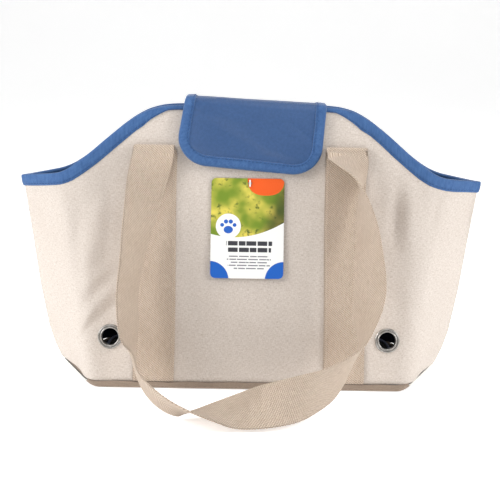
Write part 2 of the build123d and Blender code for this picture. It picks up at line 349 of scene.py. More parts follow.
for front in (True, False):
    side = "front" if front else "back"
    for piece, outer, inner, nu, nv, hole_r in (("panel", 0, 1.15, NU, NV, HOLE),
                                                ("padding", 1.2, 2.75, 97, 46, FOAM_HOLE),
                                                ("lining", 2.8, WALL, NU, NV, HOLE)):
        tt, zz = wall_grid(nu, nv)
        a, b = wall_at(tt, zz, outer, front), wall_at(tt, zz, inner, front)
        mid = (a[:-1, :-1] + a[1:, 1:]) / 2
        s = mid[..., 2] / COS
        hole = (np.abs(mid[..., 0]) - EYE_X) ** 2 + (s - EYE_S) ** 2 < hole_r ** 2
        uv = np.stack([tt * 240 * (1 if front else -1), zz / COS], -1) / 1000
        if not front:
            a, b, uv, hole = a[:, ::-1], b[:, ::-1], uv[:, ::-1], hole[:, ::-1]
        stands_for(slab(f"{side}_{piece}_cloth", a, b, uv, ~hole), f"{side}_{piece}", "bag")

# ---- base
loop_t = np.linspace(-1, 1, 261)[:-1]
around = 2 * len(loop_t)
# section of the base cloth: how far in from the wall, and height; it ends turned in under the walls
BASE_SECTION = [(1.6, 0.1), (-1.6, 0.1), (-2.5, 0.7), (-2.7, 1.8), (-2.1, 3.4), (-0.8, 4.8), (0.6, 5.4),
                (1.4, 5.3), (1.9, 4.0), (2.6, 1.5)]
TUCK_X, TUCK_RUN, TUCK = 148, 22, 4.6     # where the sides are drawn in, over what length, how far


def base_ring(z, inset):
    """The bag's outline at height z, moved in by inset."""
    rings = []
    for front in (True, False):
        x, y = plan(loop_t, np.full_like(loop_t, z), inset)
        ring = np.stack([x, -y, np.full_like(x, z)], -1)
        rings.append(ring if front else ring * np.array([-1, -1, 1]))
    return np.concatenate(rings)


wave = (0.5 * np.sin(np.linspace(0, 2 * math.pi * 23, around))
        + 0.35 * np.sin(np.linspace(0, 2 * math.pi * 9, around)))
rings = []
for inset, z in BASE_SECTION:
    ring = base_ring(z, inset)
    tuck = np.clip((np.abs(ring[:, :1]) - TUCK_X) / TUCK_RUN, 0, 1)
    ring = ring + (base_ring(z, inset + TUCK) - ring) * tuck * tuck * (3 - 2 * tuck)
    if z > 3.5:
        ring[:, 2] += wave * 0.5
    rings.append(ring)
verts = np.array(rings).reshape(-1, 3).tolist() + [[0, 0, 0.3], [0, 0, 1.5]]
last = (len(rings) - 1) * around
faces = ring_faces(0, len(rings), around)
for m in range(around):
    n = (m + 1) % around
    faces.append((n, m, last + around))
    faces.append((last + m, last + n, last + around + 1))
uv = np.array([(v[0] + v[2], v[1] + v[2]) for v in verts]) / 1000
stands_for(face_out(mesh("base_panel_cloth", verts, faces, uv)), "base_panel", "bag")


def base_sheet(name, inset, low, high, ripple):
    """A thin soft sheet lying inside the base."""
    steps = np.linspace(0, 1, 25)[:, None, None]
    rim = base_ring(high, inset) * np.array([1, 1, 0])
    top = rim[None] * (1 - steps)
    top[..., 2] = high - 0.05 - ripple * (1 + hills(top[..., 0], top[..., 1], 71, 24)) * 0.5
    under = top.copy()
    under[..., 2] = low
    uv = top[..., :2] / 1000
    stands_for(face_out(slab(name + "_sheet", top[:-1], under[:-1], uv[:-1], wrap=True)), name, "bag")


base_sheet("base_padding", 1.5, 1.3, 2.75, 0.1)
base_sheet("base_lining", 1.5, 2.8, 3.4, 0.35)


def rounded(x, y, half_x, half_y, radius):
    """Pulls the corners of a flat grid in to a radius."""
    over_x = np.clip(np.abs(x) - (half_x - radius), 0, None)
    over_y = np.clip(np.abs(y) - (half_y - radius), 0, None)
    pull = np.maximum(over_x, over_y) / np.maximum(np.hypot(over_x, over_y), 1e-9)
    both = (over_x > 0) & (over_y > 0)
    return (np.where(both, np.sign(x) * (half_x - radius + over_x * pull), x),
            np.where(both, np.sign(y) * (half_y - radius + over_y * pull), y))


CUSHION_GRID = 60, 26
CUSHION_R = 26.0          # of its corners
CUSHION_EDGE = 7          # the cover starts this far inside the CAD cushion
SEAM_HALF, CROWN = 1.2, 4.6
VOXEL, PRESSURE, FRAMES, SWELL = 0.005, 4, 20, 0.007
PIPING_IN, PIPING_R, PIPING_STEPS, PIPING_SIDES, PIPING_POWER = 4.5, 1.5, 200, 8, 6.0


def swollen(obj, low, high):
    """Swells the cushion with a cloth simulation, within the heights low and high."""
    scene = bpy.context.scene
    remesh = obj.modifiers.new("remesh", "REMESH")
    remesh.mode, remesh.voxel_size = "VOXEL", VOXEL
    bpy.context.view_layer.objects.active = obj
    with bpy.context.temp_override(active_object=obj, object=obj):
        bpy.ops.object.modifier_apply(modifier="remesh")
    before = np.array([v.co for v in obj.data.vertices])
    cloth = obj.modifiers.new("cloth", "CLOTH")
    cloth.settings.use_pressure = True
    cloth.settings.uniform_pressure_force = PRESSURE
    cloth.settings.effector_weights.gravity = 0
    for k in range(1, FRAMES + 1):
        scene.frame_set(k)
    posed = obj.evaluated_get(bpy.context.evaluated_depsgraph_get())
    move = np.array([v.co for v in posed.data.vertices]) - before
    far = np.linalg.norm(move, axis=1, keepdims=True)
    after = before + move * np.minimum(1, SWELL / np.maximum(far, 1e-9))
    after[:, 2] = np.clip(after[:, 2], low + 0.0003, high - 0.0003)
    obj.modifiers.remove(cloth)
    scene.frame_set(1)
    obj.data.vertices.foreach_set("co", after.ravel())
    smooth = obj.modifiers.new("smooth", "SUBSURF")
    smooth.levels = smooth.render_levels = 1
    with bpy.context.temp_override(active_object=obj, object=obj):
        bpy.ops.object.modifier_apply(modifier="smooth")
    obj.data.shade_smooth()


def cushion():
    """The loose cushion on the board, with piping round its seam."""
    low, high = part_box("base_cushion")
    size = np.array((Vector(high) - Vector(low)) / 2) * 1000
    nx, ny = CUSHION_GRID
    grid_x, grid_y = np.meshgrid(np.linspace(-1, 1, nx), np.linspace(-1, 1, ny), indexing="ij")
    half_x, half_y = size[0] - CUSHION_EDGE, size[1] - CUSHION_EDGE
    px, py = rounded(grid_x * half_x, grid_y * half_y, half_x, half_y, CUSHION_R)
    edge = np.minimum(1, (1 - np.maximum(np.abs(grid_x), np.abs(grid_y))) * 9)
    crown = SEAM_HALF + CROWN * np.sqrt(np.clip(edge, 0, 1))
    seam_z = low[2] * 1000 + 1.0 + 5.8
    outer = np.stack([px, py, seam_z + crown], -1)
    inner = np.stack([px, py, seam_z - crown], -1)
    obj = face_out(slab("base_cushion_soft", outer, inner, np.stack([px, py], -1) / 1000))
    swollen(obj, low[2], high[2])
    stands_for(obj, "base_cushion", "bag")
    seam = []
    for ang in np.linspace(0, 2 * math.pi, PIPING_STEPS, endpoint=False):
        c, s = math.cos(ang), math.sin(ang)
        scale = (abs(c) ** PIPING_POWER + abs(s) ** PIPING_POWER) ** (-1 / PIPING_POWER)
        seam.append(((size[0] - PIPING_IN) * c * scale, (size[1] - PIPING_IN) * s * scale, seam_z))
    seam = np.array(seam)
    ahead = np.roll(seam, -1, 0) - np.roll(seam, 1, 0)
    ahead /= np.linalg.norm(ahead, axis=1, keepdims=True)
    out = np.stack([ahead[:, 1], -ahead[:, 0], 0 * ahead[:, 0]], -1)
    angles = np.linspace(0, 2 * math.pi, PIPING_SIDES + 1)[:-1, None]
    up = np.array([0, 0, 1.0])
    rings = seam[:, None] + PIPING_R * (out[:, None] * np.cos(angles) + up * np.sin(angles))
    faces = ring_faces(0, PIPING_STEPS, PIPING_SIDES, closed=True)
    piping = face_out(mesh("base_cushion_piping", rings.reshape(-1, 3), faces))
    added(piping, "base_cushion_piping", "bag")


cushion()

# ---- eyelets
# section of the rolled eyelet: radius, distance off the face
EYELET = [(8.25, -5.2), (8.25, 1.2), (8.4, 1.75), (8.8, 2.15), (9.3, 2.2), (9.75, 1.85), (9.95, 1.2),
          (10.15, 0.75), (10.5, 0.95), (11.0, 1.45), (11.5, 1.5), (12.0, 1.1), (12.3, 0.5), (12.0, 0.12),
          (9.0, 0.08), (9.0, -4.7), (9.7, -5.0), (9.6, -5.3), (8.9, -5.4)]
EYELET_STEPS = 64
verts, faces = [], []
for front in (True, False):
    for side in (-1, 1):
        first = len(verts)
        for radius, out in EYELET:
            for ang in np.linspace(0, 2 * math.pi, EYELET_STEPS, endpoint=False):
                verts.append(panel_point(side * EYE_X + radius * math.cos(ang),
                                         EYE_S + radius * math.sin(ang), out, front))
        faces += ring_faces(first, len(EYELET), EYELET_STEPS, closed=True)
stands_for(face_out(mesh("eyelets_rolled", verts, faces)), "eyelets", "bag")

# ---- binding tape on the top edge
tb = np.linspace(-1, 1, 521)
topb = top_line(tb)
xb = plan(tb, topb, 0)[0]
slope = np.gradient(topb) / np.maximum(np.gradient(xb), 0.2)
stretch = np.hypot(1, np.clip(slope, -1.2, 1.2))
tape_w = 10.6 - 7.2 * np.clip((110 - np.abs(xb)) / 26, 0, 1)     # narrower behind the flap
# share of the tape's width below the edge, distance off the cloth
TAPE_FACE = [(1.0, 0.05), (0.97, 0.55), (0.9, 0.95), (0.6, 1.25), (0.3, 1.2), (0.06, 1.15)]
TAPE_UNDER = [(0.97, 0.02), (0.5, 0.1), (0.1, 0.1)]
INSIDE = 0.96        # the tape is this much narrower inside the bag
for front in (True, False):
    side = "front" if front else "back"
    wide = tape_w + 0.35 * hills(xb, xb * 0, 5 if front else 6, 9)
    loop = [(wide * share * stretch, -out + 0 * wide) for share, out in TAPE_FACE]
    for ang in (60, 30, 0, -30, -60):
        c, s = math.cos(math.radians(ang)), math.sin(math.radians(ang))
        loop.append((-(1.3 * c) * stretch - 0.2, WALL / 2 - (WALL / 2 + 1.15) * s + 0 * wide))
    for share, out in TAPE_FACE[::-1]:
        loop.append((wide * share * stretch * INSIDE, WALL + out + 0 * wide))
    for share, out in TAPE_UNDER:
        loop.append((wide * share * stretch * INSIDE, WALL + out - 0.3 + 0 * wide))
    loop.append((0 * wide - 0.2, WALL / 2 + 0 * wide))
    for share, out in TAPE_UNDER[::-1]:
        loop.append((wide * share * stretch, 0.3 - out + 0 * wide))
    rings = np.stack([wall_at(tb, topb - drop, inset, front) for drop, inset in loop], 1)
    across = steps_along(rings[len(tb) // 2])
    uv = grid_uv(steps_along(rings[:, 3]), across)
    stands_for(face_out(tube(f"{side}_binding_tape", rings, uv)), f"{side}_binding", "bag")
    for where, share, inset, lift in (("outer", 0.8, -1.1, -0.5), ("inner", 0.77, WALL + 1.1, 0.5)):
        row_z = topb - wide * share * stretch
        low = wall_at(tb, row_z, inset + 0 * wide, front)
        high = wall_at(tb, row_z, inset * 1.2 + lift + 0 * wide, front)
        name = f"{side}_binding_stitches_{where}"
        added(stitches(name, low[4:-4], (high - low)[4:-4]), name, "bag")


# ---- webbing
def web_section(width, thick, n=13):
    """Cross section of webbing: (across, up) points round its rounded edge."""
    half_w, half_t = width / 2, thick / 2
    top = [(x, half_t) for x in np.linspace(-half_w + half_t, half_w - half_t, n)]
    right = [(half_w - half_t + half_t * math.cos(a), half_t * math.sin(a)) for a in (0.9, 0, -0.9)]
    bottom = [(x, -half_t) for x in np.linspace(half_w - half_t, -half_w + half_t, n)]
    left = [(-half_w + half_t - half_t * math.cos(a), half_t * math.sin(a)) for a in (-0.9, 0, 0.9)]
    return np.array(top + right + bottom + left)


section = web_section(WEB_W, 1.7)
sec_len = steps_along(section)
TOOTH = 2.2           # pitch of the selvedge
LEG_TOP = 237.5


def teeth(along):
    """Small scallops of the two selvedges, by distance along the webbing."""
    side = np.sign(section[:, 0])
    edge = np.clip((np.abs(section[:, 0]) - (WEB_W / 2 - 1.5)) / 1.2, 0, 1) * side
    return 0.32 * np.sin(along[:, None] * 2 * math.pi / TOOTH + side * 0.8) * edge


def drift(s, x0):
    """How far the sewn webbing strays sideways."""
    return 0.5 * np.sin(s / 37 + x0)


def sewn_leg(name, x0, front):
    """Webbing laid on the face, with two rows of stitches and a box at the top."""
    s = np.linspace(6.2, LEG_TOP, 350)
    side = np.outer(np.ones(len(s)), section[:, 0]) + teeth(s)
    up = np.outer(np.ones(len(s)), section[:, 1]) + 1.0
    ss = s[:, None] + 0 * side
    rings = on_face(x0 + side + drift(s, x0)[:, None], ss, up, front)
    uv = np.stack([np.broadcast_to(sec_len, ss.shape), ss], -1) / 1000
    stands_for(face_out(tube(name + "_webbing", rings, uv)), name, "bag")
    rows = []
    for off in (-17.6, 17.6):
        ss = np.linspace(9, LEG_TOP - 3.5, 150)
        rows.append((x0 + off + drift(ss, x0), ss))
    for up_at in (11, 216, 231):
        xx = x0 + np.linspace(-17, 17, 24)
        rows.append((xx, up_at + 0 * xx))
    made = []
    for k, (xx, ss) in enumerate(rows):
        low, high = (on_face(xx, ss, out + 0 * ss, front) for out in (1.9, 3.0))
        made.append(stitches(f"{name}_stitches_{k}", low, high - low))
    with bpy.context.temp_override(active_object=made[0], selected_editable_objects=made):
        bpy.ops.object.join()
    made[0].name = name + "_stitches"
    added(made[0], name + "_stitches", "bag")


for front in (True, False):
    side = "front" if front else "back"
    sewn_leg(f"{side}_strap_left", -LEG_X, front)
    sewn_leg(f"{side}_strap_right", LEG_X, front)

# path of the free webbing in the panel's frame: x, distance up, distance out, turn in degrees
ROUTE = np.array([
    (-97, 240, 5, 0), (-97.5, 233, 6.6, -3), (-99, 224, 9.5, -9), (-105, 196, 16, -30), (-110, 161, 24, -50),
    (-115, 124, 28, -64), (-118, 87, 31, -66), (-116, 56, 33, -68), (-113, 35, 34, -93), (-104, 15, 53, -112),
    (-86, 2.5, 84, -121), (-64, -6, 101, -114), (-43, -10, 96, -90), (-18, -9, 90, -58), (8, -4, 97, -31),
    (33, 0, 92, -13), (58, 6, 76, 14), (79, 13, 56, 38), (99, 31, 43, 72), (112, 51, 38, 92),
    (113, 73, 35, 122),
    (117, 100, 33, 136), (115, 138, 30, 124), (111, 174, 27, 108), (107, 201, 27, 86), (100, 221, 19, 44),
    (97.5, 228, 14, 26), (95.5, 234.5, 8.5, 8), (95, 240, 5, 0)], float)


def catmull(rows, steps):
    """A smooth path through the rows."""
    rows = np.vstack([2 * rows[0] - rows[1], rows, 2 * rows[-1] - rows[-2]])
    out = []
    for i in range(1, len(rows) - 2):
        for t in np.linspace(0, 1, steps, endpoint=False):
            p0, p1, p2, p3 = rows[i - 1:i + 3]
            out.append(0.5 * (2 * p1 + (p2 - p0) * t + (2 * p0 - 5 * p1 + 4 * p2 - p3) * t ** 2
                              + (3 * p1 - p0 - 3 * p2 + p3) * t ** 3))
    out.append(rows[-2])
    return np.array(out)


def handle(name, front):
    """Free webbing from fold to fold."""
    rows = catmull(ROUTE[1:-1], 38)
    for _ in range(110):
        rows[2:-2] = (rows[:-4] + rows[1:-3] + rows[2:-2] + rows[3:-1] + rows[4:]) / 5
    root_x = rows[0][0]
    first = np.array([(root_x + 1, 236, 1.3, 0), (root_x + 1, 239.6, 1.5, 0), (root_x + 0.8, 241.0, 2.4, 0),
                      (root_x + 0.6, 241.3, 3.6, 0), (root_x + 0.4, 240.4, 4.8, 0),
                      (root_x + 0.2, 238.4, 5.6, 0), (root_x, 235.6, 6.2, -1)])
    last = first[::-1].copy()
    last[:, 0] = rows[-1][0]
    last[0, 3] = 4
    rows = np.vstack([first, rows, last])
    place = rows[:, :3].copy()
    ahead = np.gradient(place, axis=0)
    ahead /= np.linalg.norm(ahead, axis=1, keepdims=True)
    level = np.cross(np.array([0, 0, 1.0]), ahead)
    level = level / np.maximum(np.linalg.norm(level, axis=1, keepdims=True), 1e-6)
    level[:6] = [1.0, 0, 0]
    level[-6:] = [-1.0, 0, 0]
    upright = np.cross(ahead, level)
    turn = np.radians(rows[:, 3])[:, None]
    across = level * np.cos(turn) + upright * np.sin(turn)
    normal = np.cross(ahead, across)
    arc = steps_along(place)
    fade = np.clip(np.minimum(arc, arc[-1] - arc) / 40, 0, 1)
    sag = (fade * (0.9 * np.sin(arc / 31) + 0.3 * np.sin(arc / 9)))[:, None, None]
    bow = (section[:, 0] / (WEB_W / 2)) ** 2
    pts = (place[:, None] + across[:, None] * (section[None, :, :1] + teeth(arc)[..., None])
           + normal[:, None] * (section[None, :, 1:] + sag * bow[None, :, None]))
    world = panel_point(pts[..., 0], pts[..., 1], pts[..., 2], front)
    uv = grid_uv(arc, sec_len)[..., ::-1] * np.array([-1, 1])
    obj = face_out(tube(name + "_webbing", world, uv))
    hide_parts(name)
    top = panel_point(0, 241.0, 3.0, front)
    end = panel_point(0, 217.0, 8.5, front)
    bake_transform(obj)
    pieces[name] = obj


handle("front_handle", True)
handle("back_handle", False)

# ---- flap
F_TOP = 274.6         # height of its inner side over the opening
FOLD_R = 3.5
FRONT_Y = -DEPTH + TAN * F_TOP
HINGE_RISE = 3.0      # upright part next to the hinge
FLAP_X = 4.0          # middle of the flap
F_LEN, F_HALF, F_R = 102.5, 69.6, 28.0
F_SKEW = 0.062        # the right side is longer than the left


def flap_path(length, k):
    """y and z along the folded flap, from the hinge at the back over the top and down the front."""
    r = FOLD_R + k
    back_y, low_z = -FRONT_Y - FOLD_R * 0.8, F_TOP - FOLD_R
    top_len = -2 * FRONT_Y - 2 * FOLD_R * 0.8
    front_y = back_y - top_len
    arc_back = (math.pi / 2) * (FOLD_R + 4)
    arc_front = (math.pi / 2 - LEAN) * (FOLD_R + 4)
    on_top = HINGE_RISE + arc_back
    on_bend = on_top + top_len
    on_front = on_bend + arc_front
    length = np.asarray(length, float)
    turn = (length - HINGE_RISE) / arc_back * math.pi / 2
    bend = (length - on_bend) / arc_front * (math.pi / 2 - LEAN)
    part = [length < HINGE_RISE, length < on_top, length < on_bend, length < on_front]
    y = np.select(part, [back_y + r, back_y + r * np.cos(turn), back_y - (length - on_top),
                         front_y - r * np.sin(bend)], front_y - r * COS - (length - on_front) * SIN)
    z = np.select(part, [low_z - HINGE_RISE + length, low_z + r * np.sin(turn), low_z + r,
                         low_z + r * np.cos(bend)], low_z + r * SIN - (length - on_front) * COS)
    return y, z


def flap_point(p, length, k):
    """Point of the flap at p across, length along from the hinge and k above its inner side."""
    y, z = flap_path(length, k)
    share = np.clip((length - 4) / 9, 0, 1)
    x = FLAP_X + p - np.clip(length - 34, 0, 200) * 0.085
    x = x + np.minimum(p, 0) * 0.05 * np.clip((length - 34) / 45, 0, 1)
    tilt = np.where(p < 0, p * 0.047, p * 0.055 * k / 7.2)
    z = z - tilt * share * np.clip((140 - length) / 70, 0, 1)
    return np.stack([x, y, z], -1)


def flap_end(p):
    """How far along the flap reaches at p across."""
    q = np.clip(np.abs(p) - (F_HALF - F_R), 0, F_R)
    return F_LEN + p * F_SKEW - (F_R - np.sqrt(np.maximum(F_R ** 2 - q ** 2, 0)))


# creases of the flap's padded part: start, end, width, height; a few sharp ones and a few broad ones
FLAP_SHARP = [((-64, 58), (-38, 42), 3.5, -1.5), ((-60, 50), (-36, 36), 4, 1.2),
              ((46, 60), (64, 71), 3, -1.7), ((44, 68), (62, 80), 4, 1.1),
              ((-16, 86), (44, 93), 4, -1.2), ((-62, 78), (-48, 92), 4, 1.3)]
FLAP_BROAD = [((-40, 62), (30, 92), 5, -0.9), ((-52, 50), (10, 58), 6, 0.8), ((-10, 50), (52, 72), 5, -0.8),
              ((10, 80), (55, 95), 5, 0.8)]


def flap_puff(p, length):
    """How far the padding lifts the flap's outer cloth."""
    edge = np.minimum(F_HALF - np.abs(p), flap_end(p) - length)
    soft = 1 - np.exp(-np.maximum(edge - 8, 0) / 9)
    front_part = np.clip((length - 30) / 20, 0, 1)
    bumps = 0.75 * hills(p, length, 51, 16) + 0.3 * hills(p, length, 52, 7)
    out = 1.9 * soft * front_part + soft * bumps * (0.3 + 0.7 * front_part)
    for group in (FLAP_SHARP, FLAP_BROAD):
        out = out + soft * sum(crease(p, length, *row) for row in group)
    return out


cols = (np.sin(np.linspace(-math.pi / 2, math.pi / 2, 91)) * F_HALF * 0.35
        + np.linspace(-F_HALF, F_HALF, 91) * 0.65)
share = np.linspace(0, 1, 81)[:, None]
pp = np.broadcast_to(cols, (81, 91))
ll = share * flap_end(cols)
uv = np.stack([pp, ll], -1) / 1000
puff = flap_puff(pp, ll)
for piece, low, high, lo_p, hi_p in (("shell", 5.1, 5.9, 1, 1), ("padding", 2.95, 5.05, 0, 1),
                                     ("lining", 2.4, 2.9, 0, 0)):
    outer = flap_point(pp, ll, high + puff * hi_p)
    inner = flap_point(pp, ll, low + puff * lo_p)
    stands_for(face_out(slab(f"flap_{piece}_cloth", outer, inner, uv)), f"flap_{piece}", "flap")

# outline of the flap from the hinge down the left side, round the bottom and up the right side
turns = np.linspace(0, math.pi / 2, 18)[1:]
outline = [(-F_HALF, length) for length in np.linspace(0, flap_end(np.array(-F_HALF)), 40)]
round_left = [(-F_HALF + F_R - F_R * math.cos(a), F_R * math.sin(a) - F_R) for a in turns]
bottom = [(p, 0) for p in np.linspace(-F_HALF + F_R, F_HALF - F_R, 50)[1:-1]]
round_right = [(F_HALF - F_R + F_R * math.cos(a), F_R * math.sin(a) - F_R)
               for a in np.linspace(math.pi / 2, 0, 18)[:-1]]
outline += [(p, F_LEN + p * F_SKEW + drop) for p, drop in round_left + bottom + round_right]
outline += [(F_HALF, length) for length in np.linspace(flap_end(np.array(F_HALF)), 0, 40)]
outline = np.array(outline, float)
along = np.gradient(outline, axis=0)
along /= np.linalg.norm(along, axis=1, keepdims=True)
inward = np.stack([along[:, 1], -along[:, 0]], -1)
wide = 9.6 + 0.3 * hills(np.arange(len(outline)) * 2.0, 0, 61, 9)
# section of the tape round the flap's edge: share of its width in from the edge, height
FLAP_TAPE = [(1.0, 6.0), (0.98, 6.5), (0.85, 7.0), (0.5, 7.2), (0.15, 6.9), (-0.04, 6.0), (-0.11, 4.2),
             (-0.04, 2.5), (0.15, 1.75), (0.5, 1.6), (0.85, 1.7), (0.98, 1.9), (1.0, 2.3), (0.5, 2.35),
             (0.08, 2.6), (0.03, 4.2), (0.08, 5.7), (0.5, 5.95)]
rings = []
for share_in, k in FLAP_TAPE:
    at = outline + inward * (wide * share_in)[:, None]
    at[:, 1] = np.maximum(at[:, 1], 0)
    rings.append(flap_point(at[:, 0], at[:, 1], k))
rings = np.stack(rings, 1)
uv = grid_uv(steps_along(outline), np.linspace(0, 40, len(FLAP_TAPE)))
stands_for(face_out(tube("flap_binding_tape", rings, uv)), "flap_binding", "flap")
at = outline + inward * (wide * 0.8)[:, None]
low, high = flap_point(at[:, 0], at[:, 1], 7.15), flap_point(at[:, 0], at[:, 1], 8.2)
added(stitches("flap_binding_stitches", low[2:-2], (high - low)[2:-2]), "flap_binding_stitches", "flap")

# tape that joins the flap to the back panel, folded at the hinge
hinge_x = np.linspace(-66, 66, 45) + FLAP_X
HINGE_LOW = np.linspace(250, 262, 13)       # heights of the part on the back panel
HINGE_HIGH = np.linspace(0.2, 8.5, 13)      # distances along the flap of the part on it


def hinge_grid(lift):
    """Points of the hinge tape, lift above the cloth."""
    ripple = 0.18 * hills(hinge_x, 0, 81, 14) + lift
    off = 0.25 + ripple
    under = [np.stack([hinge_x, DEPTH - TAN * z + off * COS, z + off * SIN], -1) for z in HINGE_LOW]
    over = [flap_point(hinge_x - FLAP_X, length + 0 * hinge_x, 7.4 + ripple) for length in HINGE_HIGH]
    between = []
    for part in np.linspace(0, 1, 9)[1:-1]:
        soft = part * part * (3 - 2 * part)
        gap = over[0] - under[-1]
        row = under[-1] + gap * part
        row[:, 1] = under[-1][:, 1] + gap[:, 1] * soft
        between.append(row)
    return np.array(under + between + over)


uv = grid_uv(steps_along(hinge_grid(1.0)[:, 22, 1:]), hinge_x)
obj = face_out(slab("flap_hinge_tape", hinge_grid(1.0), hinge_grid(0.1), uv))
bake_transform(obj)
pieces["hinge_binding"] = obj
for name, row, body in (("flap_hinge_stitches_low", 3, "bag"), ("flap_hinge_stitches_mid", 10, "bag"),
                        ("flap_hinge_stitches_high", 29, "flap")):
    low, high = hinge_grid(1.0)[row], hinge_grid(2.0)[row]
    added(stitches(name, low[1:-1], (high - low)[1:-1]), name + "_binding", body)

# hook and loop patches, with a flat border
PATCH_X, PATCH_S, PATCH_R = 2, 246, 3
for name, wide_x, wide_s, low_n, high_n, body in (("flap_hook_patch", 84, 20, 1.4, 2.3, "flap"),
                                                  ("front_loop_patch", 88, 22, 0.15, 1.0, "bag")):
    gx, gs = np.meshgrid(np.linspace(-1, 1, 89), np.linspace(-1, 1, 23))
    qx, qs = rounded(gx * wide_x / 2, gs * wide_s / 2, wide_x / 2, wide_s / 2, PATCH_R)
    edge = np.minimum(wide_x / 2 - np.abs(qx), wide_s / 2 - np.abs(qs))
    fluff = 0.25 * np.clip(edge - 2.4, 0, 1) * (0.6 + 0.4 * hills(qx, qs, 91, 1.1))
    high, low = high_n + 0 * qx, low_n + 0 * qx
    if body == "bag":
        high = high_n - 0.25 + fluff
    else:
        low = low_n + 0.25 - fluff
    outer, inner = (panel_point(PATCH_X + qx, PATCH_S + qs, n) for n in (high, low))
    stands_for(face_out(slab(name + "_soft", outer, inner, np.stack([qx, qs], -1) / 1000)), name, body)

# ---- hang tag
TAG_X, TAG_HALF_W, TAG_S, TAG_HALF_S, TAG_R = -3.0, 37, 160, 50, 5.0
TAG_TOP = TAG_S + TAG_HALF_S
HOLE_X, HOLE_S, HOLE_R = 2.0, 205, 1.5
xx, ss = np.meshgrid(np.linspace(-TAG_HALF_W, TAG_HALF_W, 39), np.linspace(TAG_S - TAG_HALF_S, TAG_TOP, 51))
down = (TAG_TOP - ss) / 100
lift = 1.15 + 1.2 * down ** 2 + 0.7 * (xx / TAG_HALF_W) ** 2 * down     # the card curls a little
cx = np.clip(np.abs(xx) - (TAG_HALF_W - TAG_R), 0, None)
cs = np.clip(np.abs(ss - TAG_S) - (TAG_HALF_S - TAG_R), 0, None)
far = np.hypot(cx, cs)
pull = np.where((far > TAG_R) & (cx > 0) & (cs > 0), TAG_R / np.maximum(far, 1e-6), 1)
px = np.where(pull < 1, np.sign(xx) * (TAG_HALF_W - TAG_R + cx * pull), xx) * 0.985
ps = np.where(pull < 1, TAG_S + np.sign(ss - TAG_S) * (TAG_HALF_S - TAG_R + cs * pull), ss)
outer, inner = (panel_point(px + TAG_X, ps, lift + half) for half in (0.25, -0.25))
uv = np.stack([px / 1000, (ps - TAG_S) / 1000], -1)
mid_x, mid_s = xx[:-1, :-1] / 2 + xx[1:, 1:] / 2, ss[:-1, :-1] / 2 + ss[1:, 1:] / 2
hole = (mid_x - HOLE_X) ** 2 + (mid_s - HOLE_S) ** 2 < HOLE_R ** 2
tag = slab("swing_tag_card", outer, inner, uv, ~hole)
tag.data.shade_flat()
stands_for(tag, "swing_tag", "tag")


# ---- materials
class Ex:
    """A node socket that can be used in sums."""

    def __init__(self, tree, socket):
        self.tree, self.socket = tree, socket

    def op(self, kind, *others):
        node = self.tree.nodes.new("ShaderNodeMath")
        node.operation = kind
        self.tree.links.new(self.socket, node.inputs[0])
        for k, other in enumerate(others):
            if isinstance(other, Ex):
                self.tree.links.new(other.socket, node.inputs[k + 1])
            else:
                node.inputs[k + 1].default_value = other
        return Ex(self.tree, node.outputs[0])

    def __add__(self, o): return self.op("ADD", o)
    def __sub__(self, o): return self.op("SUBTRACT", o)
    def __mul__(self, o): return self.op("MULTIPLY", o)
    def __truediv__(self, o): return self.op("DIVIDE", o)
    __radd__ = __add__
    __rmul__ = __mul__
    def sin(self): return self.op("SINE")
    def abs(self): return self.op("ABSOLUTE")
    def less(self, o): return self.op("LESS_THAN", o)
    def max(self, o): return self.op("MAXIMUM", o)
    def root(self): return self.op("SQRT")

    def ramp(self, low, high):
        node = self.tree.nodes.new("ShaderNodeMapRange")
        node.interpolation_type = "SMOOTHSTEP"
        self.tree.links.new(self.socket, node.inputs["Value"])
        node.inputs["From Min"].default_value = low
        node.inputs["From Max"].default_value = high
        return Ex(self.tree, node.outputs[0])


class Mat:
    """A principled material with helpers for procedural colour and bump."""

    def __init__(self, name, **values):
        self.mat = bpy.data.materials.new(name)
        self.mat.use_nodes = True
        self.tree = self.mat.node_tree
        self.bsdf = self.tree.nodes["Principled BSDF"]
        for key, value in values.items():
            self.bsdf.inputs[key.replace("_", " ")].default_value = value
        coord = self.tree.nodes.new("ShaderNodeTexCoord")
        self.uv, self.obj = coord.outputs["UV"], coord.outputs["Object"]

    def xy(self, socket):
        node = self.tree.nodes.new("ShaderNodeSeparateXYZ")
        self.tree.links.new(socket, node.inputs[0])
        return [Ex(self.tree, o) for o in node.outputs]

    def noise(self, socket, scale, detail=3.0, rough=0.5, stretch=(1, 1, 1)):
        node = self.tree.nodes.new("ShaderNodeTexNoise")
        node.inputs["Scale"].default_value = scale
        node.inputs["Detail"].default_value = detail
        node.inputs["Roughness"].default_value = rough
        place = self.tree.nodes.new("ShaderNodeMapping")
        place.inputs["Scale"].default_value = stretch
        self.tree.links.new(socket, place.inputs["Vector"])
        self.tree.links.new(place.outputs[0], node.inputs["Vector"])
        return Ex(self.tree, node.outputs[0])

    def mix(self, fac, a, b):
        node = self.tree.nodes.new("ShaderNodeMix")
        node.data_type = "RGBA"
        self.tree.links.new(fac.socket, node.inputs["Factor"])
        for value, key in ((a, 6), (b, 7)):
            if isinstance(value, tuple):
                node.inputs[key].default_value = (*value, 1)
            else:
                self.tree.links.new(value, node.inputs[key])
        return node.outputs[2]

    def color(self, socket):
        self.tree.links.new(socket, self.bsdf.inputs["Base Color"])

    def link(self, value, key):
        self.tree.links.new(value.socket, self.bsdf.inputs[key])

    def bump(self, value, distance, strength=1.0):
        node = self.tree.nodes.new("ShaderNodeBump")
        node.inputs["Distance"].default_value = distance
        node.inputs["Strength"].default_value = strength
        self.tree.links.new(value.socket, node.inputs["Height"])
        self.tree.links.new(node.outputs[0], self.bsdf.inputs["Normal"])


